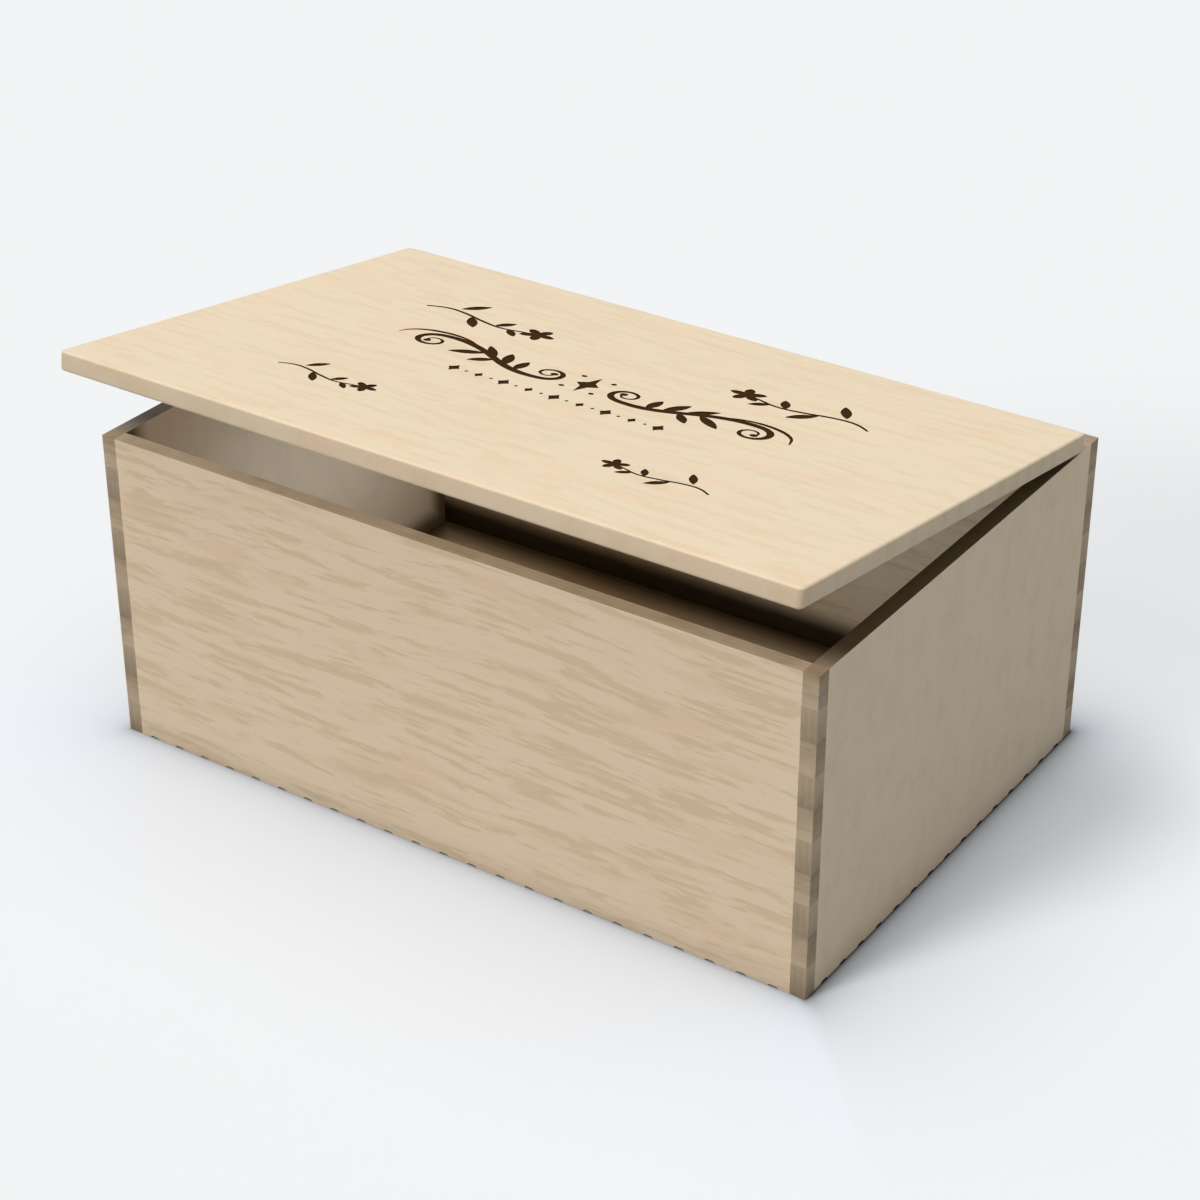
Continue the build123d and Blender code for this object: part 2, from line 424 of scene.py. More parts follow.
@dataclass(frozen=True)
class LaserCutPly(SandedBoard):
    """Birch plywood cut by laser and sanded on its faces.

    To the eye: matt veneer faces, cut edges toasted brown with their plies just showing, and
    fingers toned by the beam's heat, which fades along each finger. Painted shade darkens the
    inner corners and the outer faces' foot, and the lid's painted shadow can darken the rims.
    """

    through: Axis = Axis.Y  # the way through the sheet
    reach: float = 0.15  # m from the middle of the wall to its end
    inside: Point = (0.144, 0.094)  # m from the middle of the box to its inner faces, in X and Y
    sheet: float = 0.006  # m
    ply_count: int = 5
    cell: float = 0.0126  # m, height of one finger
    toast: str = "958D82"  # what fully toned wood keeps of its colour
    face_heat: Point = (0.5, 0.8)  # tone of a finger's face, at its lower and upper end
    end_heat: Point = (0.9, 0.7)  # the same for the finger's cut end
    edge_heat: float = 0.68  # tone of the rim and the other cut edges
    painted_shade_span: Point = (2.0, 13.0)  # mm from an inner corner, over which its painted shade fades
    painted_shade_colour: str = "7C705A"  # what the painted shade leaves of the light in a corner itself, and in part at the foot
    painted_shade_upright: bool = True  # whether the upright corners get painted shade as well
    foot: float = 9.0  # mm of the outer face's foot over which its painted shade fades
    foot_unshaded: float = 0.84  # share of the wood's colour that the painted shade leaves at the very foot
    smoke: float = 8.0  # mm from one cloud of the beam's smoke to the next
    rim_painted_shadow: bool = False  # whether the rim between the corners carries the lid's painted shadow
    rim_shadow_colour: str = "7A6A4F"  # what the rim keeps of its colour in that painted shadow
    rim_shadow_from: Point = (-0.106, -0.077)  # m along the wall, over which the painted shadow begins
    rim_shadow_to: Point = (0.083, 0.088)  # m along the wall, over which it ends
    squarely: float = 0.7  # cosine of the turn up to which a face counts as looking along an axis

    def material(self) -> bpy.types.Material:
        """Builds the material.

        Returns:
            The material.
        """
        material, node = new_material(self.name)
        spot = Spot.of(node)
        is_face = node(
            "ShaderNodeMath",
            {0: spot.square[self.through.value], 1: self.squarely},
            operation="GREATER_THAN",
        ).outputs[0]
        colour, height = self.wood.grain(node, spot.place, self.along, self.across, self.seed)
        toned = node(
            "ShaderNodeMix",
            {0: self.heat(node, spot, is_face), 6: colour, 7: linear(self.toast)},
            data_type="RGBA",
            blend_type="MULTIPLY",
        ).outputs[2]
        plied = node(
            "ShaderNodeVectorMath",
            {0: toned, 3: self.ply_tone(node, spot, is_face)},
            operation="SCALE",
        ).outputs[0]
        # painted shade in the inner corners and at the foot
        shaded = node(
            "ShaderNodeVectorMath", {0: plied, 1: self.painted_shade(node, spot)}, operation="MULTIPLY"
        ).outputs[0]
        if self.rim_painted_shadow:
            shaded = self.paint_rim_shadow(node, spot, shaded)
        self.finish(node, shaded, height)
        return material

    def heat(self, node: AddNode, spot: Spot, is_face: Socket) -> Socket:
        """Tones the fingers and the cut edges, where the beam passed.

        Args:
            node: add_node bound to the material's tree.
            spot: what the shader colours.
            is_face: 1 on the veneer faces, and 0 on the cut edges.

        Returns:
            How strongly the wood is toned, 0 to 1.
        """
        in_corner = node(
            "ShaderNodeMath",
            {0: spot.off[self.along_wall.value], 1: self.reach - self.sheet},
            operation="GREATER_THAN",
        ).outputs[0]
        cells = node(
            "ShaderNodeMath", {0: spot.where[Axis.Z.value], 1: self.cell}, operation="DIVIDE"
        ).outputs[0]
        up_cell = node("ShaderNodeMath", {0: cells}, operation="FRACT").outputs[0]
        tones = []
        for elsewhere, (lower, upper) in ((self.edge_heat, self.end_heat), (0.0, self.face_heat)):
            finger = node("ShaderNodeMix", {0: up_cell, 2: lower, 3: upper}).outputs[0]
            tones.append(node("ShaderNodeMix", {0: in_corner, 2: elsewhere, 3: finger}).outputs[0])
        tone = node("ShaderNodeMix", {0: is_face, 2: tones[0], 3: tones[1]}).outputs[0]

        # Smoke from the cut lies unevenly.
        clouds = node(
            "ShaderNodeTexNoise",
            {"Vector": spot.place, "Scale": 1 / (self.smoke * MM), "Detail": 2.0},
        ).outputs[0]
        uneven = node(
            "ShaderNodeMapRange",
            {"Value": clouds, "From Min": 0.3, "From Max": 0.7, "To Min": 0.9, "To Max": 1.08},
        ).outputs[0]
        return node(
            "ShaderNodeMath", {0: tone, 1: uneven}, operation="MULTIPLY", use_clamp=True
        ).outputs[0]

    def ply_tone(self, node: AddNode, spot: Spot, is_face: Socket) -> Socket:
        """Tells the plies apart: every second one is cut across its grain, and so is darker.

        Args:
            node: add_node bound to the material's tree.
            spot: what the shader colours.
            is_face: 1 on the veneer faces, and 0 on the cut edges.

        Returns:
            What the wood keeps of its lightness: 1 on the faces, and about 1 on the cut edges.
        """
        waves = 2 * math.pi / (2 * self.sheet / self.ply_count)
        depth = node(
            "ShaderNodeMath", {0: spot.off[self.through.value], 1: waves}, operation="MULTIPLY"
        ).outputs[0]
        plies = node("ShaderNodeMath", {0: depth}, operation="SINE").outputs[0]
        tone = node(
            "ShaderNodeMapRange",
            {"Value": plies, "From Min": -0.4, "From Max": 0.4, "To Min": 0.96, "To Max": 1.03},
        ).outputs[0]
        return node("ShaderNodeMix", {0: is_face, 2: tone, 3: 1.0}).outputs[0]

    def painted_shade(self, node: AddNode, spot: Spot) -> Socket:
        """Paints shade into the inner corners, and along the foot of the outer face.

        Args:
            node: add_node bound to the material's tree.
            spot: what the shader colours.

        Returns:
            The colour that the wood is multiplied by.
        """
        # Painted shade darkens the outer face towards its foot.
        foot = node(
            "ShaderNodeMapRange",
            {
                "Value": spot.where[Axis.Z.value],
                "From Max": self.foot * MM,
                "To Min": self.foot_unshaded,
            },
        ).outputs[0]
        is_inner = node(
            "ShaderNodeMath",
            {0: self.facing_in(node, spot), 1: self.squarely},
            operation="GREATER_THAN",
        ).outputs[0]
        # share of the wood's colour left by the painted shade: the corners' inside, the foot's
        # outside
        clean = node(
            "ShaderNodeMix", {0: is_inner, 2: foot, 3: self.corner_shade(node, spot)}
        ).outputs[0]
        return node(
            "ShaderNodeMix", {0: clean, 6: linear(self.painted_shade_colour), 7: WHITE}, data_type="RGBA"
        ).outputs[2]

    def facing_in(self, node: AddNode, spot: Spot) -> Socket:
        """Finds the face that looks into the case.

        Args:
            node: add_node bound to the material's tree.
            spot: what the shader colours.

        Returns:
            1 on that face, and less on the others.
        """
        facing = spot.facing[self.through.value]
        if self.through is Axis.Z:
            return facing
        side = node(
            "ShaderNodeMath", {0: spot.where[self.through.value]}, operation="SIGN"
        ).outputs[0]
        outward = node("ShaderNodeMath", {0: side, 1: facing}, operation="MULTIPLY").outputs[0]
        return node("ShaderNodeMath", {0: outward, 1: -1.0}, operation="MULTIPLY").outputs[0]

    def corner_shade(self, node: AddNode, spot: Spot) -> Socket:
        """Paints shade into the case's inner corners.

        Args:
            node: add_node bound to the material's tree.
            spot: what the shader colours.

        Returns:
            How much of the wood's colour the painted shade leaves, 0 to 1.
        """
        gaps = {}
        for axis, inner in zip((Axis.X, Axis.Y), self.inside):
            gaps[axis] = node(
                "ShaderNodeMath", {0: inner, 1: spot.off[axis.value]}, operation="SUBTRACT"
            ).outputs[0]
        gaps[Axis.Z] = node(
            "ShaderNodeMath", {0: spot.where[Axis.Z.value], 1: self.sheet}, operation="SUBTRACT"
        ).outputs[0]
        first, nearest = [gap for axis, gap in gaps.items() if axis is not self.through]
        if self.painted_shade_upright:
            nearest = node("ShaderNodeMath", {0: first, 1: nearest}, operation="MINIMUM").outputs[0]
        return node(
            "ShaderNodeMapRange",
            {
                "Value": nearest,
                "From Min": self.painted_shade_span[0] * MM,
                "From Max": self.painted_shade_span[1] * MM,
            },
            interpolation_type="SMOOTHSTEP",
        ).outputs[0]

    def paint_rim_shadow(self, node: AddNode, spot: Spot, colour: Socket) -> Socket:
        """Paints the lid's shadow onto the rim between the corners.

        Args:
            node: add_node bound to the material's tree.
            spot: what the shader colours.
            colour: the wood without the painted shadow.

        Returns:
            The wood's colour.
        """
        along = spot.where[self.along_wall.value]
        begins = node(
            "ShaderNodeMapRange",
            {"Value": along, "From Min": self.rim_shadow_from[0], "From Max": self.rim_shadow_from[1]},
            interpolation_type="SMOOTHSTEP",
        ).outputs[0]
        ends = node(
            "ShaderNodeMapRange",
            {
                "Value": along,
                "From Min": self.rim_shadow_to[0],
                "From Max": self.rim_shadow_to[1],
                "To Min": 1.0,
                "To Max": 0.0,
            },
        ).outputs[0]
        share = node(
            "ShaderNodeMath",
            {0: spot.facing[Axis.Z.value], 1: self.squarely},
            operation="GREATER_THAN",
        ).outputs[0]
        for part in (begins, ends):
            share = node("ShaderNodeMath", {0: share, 1: part}, operation="MULTIPLY").outputs[0]
        return node(
            "ShaderNodeMix",
            {0: share, 6: colour, 7: linear(self.rim_shadow_colour)},
            data_type="RGBA",
            blend_type="MULTIPLY",
        ).outputs[2]

    @property
    def along_wall(self) -> Axis:
        """The level direction along the wall."""
        return Axis.X if self.through is Axis.Y else Axis.Y


@dataclass(frozen=True)
class CharredWood:
    """Wood burnt away by an engraving laser, brushed clean.

    To the eye: an even dark brown with no gloss, rough from the raster of the beam.
    """

    name: str = "charred_engraving"
    char: str = "37230F"
    ember: str = "452C15"
    cloud: float = 3.0  # mm from one darker cloud to the next
    raster: float = 0.25  # mm between passes; real ones are 0.1 mm, drawn coarser so that they show
    stroke: float = 4.0  # mm over which one pass changes

    def material(self) -> bpy.types.Material:
        """Builds the material.

        Returns:
            The material.
        """
        material, node = new_material(self.name)
        place = node("ShaderNodeTexCoord").outputs["Object"]
        clouds = node(
            "ShaderNodeTexNoise", {"Vector": place, "Scale": 1 / (self.cloud * MM), "Detail": 3.0}
        ).outputs[0]
        sizes = (self.stroke, self.raster, self.stroke)
        passes = node(
            "ShaderNodeMapping", {"Vector": place, "Scale": [1 / (size * MM) for size in sizes]}
        ).outputs[0]
        ribs = node(
            "ShaderNodeTexNoise", {"Vector": passes, "Scale": 1.0, "Detail": 1.0}
        ).outputs[0]
        colour = node(
            "ShaderNodeMix",
            {0: clouds, 6: linear(self.char), 7: linear(self.ember)},
            data_type="RGBA",
        ).outputs[2]
        roughness = node(
            "ShaderNodeMapRange", {"Value": clouds, "To Min": 0.8, "To Max": 0.95}
        ).outputs[0]
        bump = node("ShaderNodeBump", {"Height": ribs, "Distance": 0.03 * MM}).outputs[0]
        surface = node(
            "ShaderNodeBsdfPrincipled",
            {
                "Base Color": colour,
                "Roughness": roughness,
                "Normal": bump,
                "Specular IOR Level": 0.03,
            },
        )
        node("ShaderNodeOutputMaterial", {"Surface": surface.outputs[0]})
        return material


@dataclass(frozen=True)
class Brass:
    """Yellow brass, as rolled strip, drawn wire or turned screws.

    To the eye: a soft yellow metal. Brushing or turning leaves fine lines that blur its
    highlights, and handling leaves faint browner clouds.
    """

    name: str
    roughness: float
    lines: tuple[float, float, float]  # mm between marks along X, Y and Z
    metal: str = "D4BC86"
    tarnish: str = "A88B5A"
    cloud: float = 4.0  # mm from one tarnished cloud to the next

    def material(self) -> bpy.types.Material:
        """Builds the material.

        Returns:
            The material.
        """
        material, node = new_material(self.name)
        place = node("ShaderNodeTexCoord").outputs["Object"]
        clouds = node(
            "ShaderNodeTexNoise", {"Vector": place, "Scale": 1 / (self.cloud * MM), "Detail": 3.0}
        ).outputs[0]
        stretched = node(
            "ShaderNodeMapping",
            {"Vector": place, "Scale": [1 / (spacing * MM) for spacing in self.lines]},
        ).outputs[0]
        marks = node(
            "ShaderNodeTexNoise", {"Vector": stretched, "Scale": 1.0, "Detail": 2.0}
        ).outputs[0]
        dulled = node(
            "ShaderNodeMapRange",
            {"Value": clouds, "From Min": 0.45, "From Max": 0.75, "To Max": 0.45},
        ).outputs[0]
        colour = node(
            "ShaderNodeMix",
            {0: dulled, 6: linear(self.metal), 7: linear(self.tarnish)},
            data_type="RGBA",
        ).outputs[2]
        roughness = node(
            "ShaderNodeMapRange",
            {"Value": marks, "To Min": self.roughness - 0.08, "To Max": self.roughness + 0.12},
        ).outputs[0]
        bump = node(
            "ShaderNodeBump", {"Height": marks, "Strength": 0.5, "Distance": 0.01 * MM}
        ).outputs[0]
        surface = node(
            "ShaderNodeBsdfPrincipled",
            {"Base Color": colour, "Metallic": 1.0, "Roughness": roughness, "Normal": bump},
        )
        node("ShaderNodeOutputMaterial", {"Surface": surface.outputs[0]})
        return material


# ------------------------------------------------------------------ ornament


def smooth_line(points: Sequence[Point], step: float) -> Outline:
    """Runs a smooth line through some points.

    Args:
        points: what the line goes through, in mm.
        step: about how far apart the new points are, in mm.

    Returns:
        The points of a Catmull-Rom line.
    """
    ends = [points[0], *points, points[-1]]
    line: Outline = []
    for before, start, end, after in zip(ends, ends[1:], ends[2:], ends[3:]):
        count = max(1, round(math.dist(start, end) / step))
        for number in range(count):
            t = number / count
            line.append(
                tuple(
                    0.5
                    * (
                        2 * s
                        + (e - b) * t
                        + (2 * b - 5 * s + 4 * e - a) * t**2
                        + (3 * s - b - 3 * e + a) * t**3
                    )
                    for b, s, e, a in zip(before, start, end, after)
                )
            )
    return [*line, points[-1]]


def ribbon(points: Sequence[Point], widths: Sequence[float], step: float = 0.8) -> Outline:
    """Outlines a stroke of changing width.

    Args:
        points: what the stroke's middle goes through, in mm.
        widths: widths in mm at equal distances along it, from one end to the other.
        step: about how far apart the outline's points are, in mm.

    Returns:
        The closed outline.
    """
    line = smooth_line(points, step)
    left: Outline = []
    right: Outline = []
    for number, (x, y) in enumerate(line):
        before, after = line[max(number - 1, 0)], line[min(number + 1, len(line) - 1)]
        run = math.dist(before, after)
        across = ((before[1] - after[1]) / run, (after[0] - before[0]) / run)
        place = number / (len(line) - 1) * (len(widths) - 1)
        index = min(int(place), len(widths) - 2)
        width = widths[index] + (widths[index + 1] - widths[index]) * (place - index)
        left.append((x + across[0] * width / 2, y + across[1] * width / 2))
        right.append((x - across[0] * width / 2, y - across[1] * width / 2))
    return left + right[::-1]


def leaf(base: Point, tip: Point, width: float, fullness: float = 0.8, steps: int = 12) -> Outline:
    """Outlines a leaf that is pointed at both ends, or a petal where the fullness is low.

    Args:
        base: where it starts, in mm.
        tip: where it ends, in mm.
        width: its greatest width, in mm.
        fullness: below 1 rounds the ends, and 1 gives a pointed lens.
        steps: points along each side.

    Returns:
        The closed outline.
    """
    (x, y), (dx, dy) = base, (tip[0] - base[0], tip[1] - base[1])
    length = math.hypot(dx, dy)
    side: list[tuple[float, float]] = []
    for number in range(1, steps):
        t = number / steps
        side.append((t, width / 2 * math.sin(math.pi * t) ** fullness))
    left = [(x + dx * t - dy / length * w, y + dy * t + dx / length * w) for t, w in side]
    right = [(x + dx * t + dy / length * w, y + dy * t - dx / length * w) for t, w in side]
    return [base, *left, tip, *right[::-1]]


def disc(centre: Point, radius: float, steps: int = 20) -> Outline:
    """Outlines a disc."""
    turns = [2 * math.pi * number / steps for number in range(steps)]
    return [(centre[0] + radius * math.cos(a), centre[1] + radius * math.sin(a)) for a in turns]


def volute(
    centre: Point, radius: float, start: float, turns: float, shrink: float, steps: int = 16
) -> Outline:
    """Winds a spiral inwards.

    Args:
        centre: its middle, in mm.
        radius: its outer radius, in mm.
        start: the angle where it starts, in degrees.
        turns: how far it winds, negative for clockwise.
        shrink: share of the radius that is left at its inner end.
        steps: points in each turn.

    Returns:
        Points from the outer end to the inner one.
    """
    count = round(abs(turns) * steps)
    line: Outline = []
    for number in range(count + 1):
        t = number / count
        angle = math.radians(start + 360 * turns * t)
        reach = radius * shrink**t
        line.append((centre[0] + reach * math.cos(angle), centre[1] + reach * math.sin(angle)))
    return line


def anticlockwise(outline: Outline) -> Outline:
    """Turns an outline the way that the triangulation asks for.

    Args:
        outline: a closed outline.

    Returns:
        The same outline, run through anticlockwise.
    """
    twice_area = sum(
        x * next_y - next_x * y
        for (x, y), (next_x, next_y) in zip(outline, [*outline[1:], outline[0]])
    )
    return outline if twice_area > 0 else outline[::-1]


@dataclass(frozen=True)
class Sprig:
    """A flowering sprig: a waved stem, four leaves and a flower of five petals, in mm.

    Its shape is drawn from the middle of the flower, with the stem to the left.
    """

    flower: Point
    scale: float = 1.0
    mirrored: bool = False
    petal: tuple[float, float, float] = (0.3, 7.1, 3.9)  # where it starts and ends, and its width

    def outlines(self) -> list[Outline]:
        """Draws the sprig.

        Returns:
            The outlines of its parts, in place on the lid.
        """
        stem = [
            (-50.4, -2.2),
            (-45.6, 0.7),
            (-41.1, 1.8),
            (-36.5, 1.4),
            (-32.0, 0.4),
            (-27.4, -1.2),
            (-22.9, -2.4),
            (-18.3, -3.5),
            (-14.7, -3.7),
            (-11.1, -3.2),
            (-7.4, -2.0),
            (-2.5, -0.7),
        ]
        parts = [
            ribbon(stem, (1.1, 1.55, 1.6, 1.55, 1.35, 1.2), 1.2),
            leaf((-38.6, 3.9), (-31.9, 15.3), 4.1),
            leaf((-30.0, -1.0), (-22.0, -11.4), 4.2),
            leaf((-17.6, -3.4), (-13.0, 5.0), 3.7),
            leaf((-11.7, -2.5), (-5.1, -8.9), 3.4),
            disc((0.0, 0.0), 2.5),
        ]
        inner, outer, width = self.petal
        for number in range(5):
            turn = math.radians(72 * number)
            x, y = math.cos(turn), math.sin(turn)
            parts.append(leaf((inner * x, inner * y), (outer * x, outer * y), width, 0.55))
        side = -1 if self.mirrored else 1
        return [
            [
                (self.flower[0] + side * self.scale * x, self.flower[1] + self.scale * y)
                for x, y in part
            ]
            for part in parts
        ]


@dataclass(frozen=True)
class Scrollwork:
    """A generic divider of mirrored scrolls about a lozenge, in mm."""

    middle: Point

    def outlines(self) -> list[Outline]:
        """Draws the divider.

        Returns:
            The outlines of its parts, in place on the lid.
        """
        inner = volute((17.0, 0.6), 7.0, -90.0, -1.3, 0.3)
        outer = volute((68.5, -0.2), 7.8, 90.0, -1.35, 0.28)
        middle = [
            (21.0, -6.8),
            (25.5, -6.6),
            (30.5, -5.4),
            (36.0, -3.0),
            (41.5, 0.2),
            (47.0, 3.3),
            (52.5, 5.8),
            (58.0, 7.4),
            (63.5, 8.0),
        ]
        sweep = [*inner[::-1], *middle, *outer]
        scroll = (0.9, 1.4, 2.1, 2.9, 3.4, 3.4, 3.0, 3.4, 3.3, 2.8, 2.1, 1.4, 0.9)
        tendril = [(52.0, 6.4), (59.5, 10.0), (68.0, 11.0), (76.0, 9.2), (81.5, 5.2), (84.0, -0.6)]
        right = [
            ribbon(sweep, scroll),
            disc(inner[-1], 1.5),
            disc(outer[-1], 1.5),
            ribbon(tendril, (0.6, 1.3, 1.9, 2.0, 1.4, 0.5)),
            leaf((28.6, -5.8), (28.9, 5.6), 4.0),
            leaf((34.0, -3.8), (38.8, 8.8), 4.4),
            leaf((40.5, -0.4), (50.0, 10.6), 3.8),
            leaf((46.0, 2.6), (57.8, -5.8), 4.4),
            leaf((39.6, -1.2), (46.8, -9.2), 3.8),
            disc((6.4, -7.0), 1.1, 14),
            disc((6.4, 7.8), 1.1, 14),
        ]
        lozenge = [(0.0, 10.0), (1.6, 3.2), (4.8, 0.4), (1.6, -2.4), (0.0, -9.2)]
        centre = lozenge + [(-x, y) for x, y in lozenge[-2:0:-1]]
        left = [[(-x, y) for x, y in part] for part in right]
        return [
            [(self.middle[0] + x, self.middle[1] + y) for x, y in part]
            for part in [*right, *left, centre]
        ]


@dataclass(frozen=True)
class LozengeRow:
    """A level row of lozenges, large and small by turns, with a dot between each two, in mm."""

    middle: Point
    count: int = 9
    pitch: float = 10.9
    large: Point = (4.8, 7.2)  # width and height
    small: Point = (3.4, 5.2)
    waist: float = 0.44  # how far a side's middle lies out, where 0.5 would be straight

    def outlines(self) -> list[Outline]:
        """Draws the row.

        Returns:
            The outlines of its parts, in place on the lid.
        """
        parts: list[Outline] = []
        for number in range(self.count):
            x = self.middle[0] + (number - (self.count - 1) / 2) * self.pitch
            y = self.middle[1]
            width, height = self.small if number % 2 else self.large
            across, up = width / 2, height / 2
            corners: Outline = []
            for side_x, side_y in ((1, 1), (-1, 1), (-1, -1), (1, -1)):
                hollow = (x + side_x * across * self.waist, y + side_y * up * self.waist)
                on_level = (x + side_x * across, y)
                upright = (x, y + side_y * up)
                corners += [on_level, hollow] if side_x == side_y else [upright, hollow]
            parts.append(corners)
            if number:
                parts.append(disc((x - self.pitch / 2, y), 0.7, 12))
        return parts


# ------------------------------------------------------------------ the box's sub-assemblies


@dataclass
class Carcass:
    """The four finger-jointed walls, the floor panel and the hinge rail."""

    nodes: dict[str, bpy.types.Object]
    corner_cells: int = 10  # fingers and notches at each corner, from the foot to the rim
    sheet: float = 6 * MM
    wood: Veneer = Veneer(
        base="EFD9BA",
        streak="DFC8A6",
        flush="EACBAC",
        streak_share=0.85,
        flush_share=0.6,
        streak_length=32.0,
        streak_width=3.0,
    )
    # Quieter grain, on a base a little darker than the front and back wood, as painted shade on the
    # side panels.
    quiet_shaded_wood: Veneer = Veneer(
        base="E7D3B5",
        streak="D6C5A6",
        flush="E2CCB0",
        streak_share=0.2,
        flush_share=0.5,
        streak_length=14.0,
        streak_width=8.0,
        pore_length=5.0,
        pore_width=0.9,
        wander=5.0,
    )

    def build(self) -> None:
        """Gives every piece its finish."""
        half_width, _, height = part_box("front_panel")[1]
        half_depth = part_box("back_panel")[1].y
        cell = height / self.corner_cells
        inside = (half_width - self.sheet, half_depth - self.sheet)
        for number, name in enumerate(("front_panel", "back_panel")):
            finish = LaserCutPly(
                name=f"birch_ply_{name}",
                wood=self.wood,
                along=Axis.X,
                across=Axis.Z,
                seed=5.0 + 11.0 * number,
                through=Axis.Y,
                reach=half_width,
                inside=inside,
                sheet=self.sheet,
                cell=cell,
                face_heat=(0.5, 0.76),
                end_heat=(0.83, 1.0),
                edge_heat=0.54,
                # painted shade, nearly black, low on the inner face along the floor
                painted_shade_span=(6.0, 18.0),
                painted_shade_colour="352E21",
                painted_shade_upright=False,
            )
            self.finish(name, finish)
        for number, name in enumerate(("left_panel", "right_panel")):
            finish = LaserCutPly(
                name=f"birch_ply_{name}",
                wood=self.quiet_shaded_wood,
                along=Axis.Z,
                across=Axis.Y,
                seed=2.0 + 7.0 * number,
                through=Axis.X,
                reach=half_depth,
                inside=inside,
                sheet=self.sheet,
                cell=cell,
                face_heat=(0.81, 0.55),
                end_heat=(0.88, 0.63),
                # the lid's shadow, painted on the side rims
                rim_painted_shadow=True,
                rim_shadow_colour="665935" if number else "5A4D35",
            )
            self.finish(name, finish)
        floor = LaserCutPly(
            name="birch_ply_floor",
            wood=self.wood,
            seed=41.0,
            through=Axis.Z,
            reach=1.0,  # so that none of it counts as a corner's fingers
            inside=inside,
            sheet=self.sheet,
            # painted shade along the floor's edges at the walls
            painted_shade_span=(0.0, 17.0),
            painted_shade_colour="6E6044",
        )
        self.finish("floor_panel", floor)
        self.finish("hinge_rail", SandedBoard("planed_birch_rail", self.wood, seed=53.0))

    def finish(self, name: str, finish: SandedBoard) -> None:
        """Dresses one node and reports it."""
        dress(self.nodes[name], finish.material())
        LOG.info("%s: %s", name, finish.name)


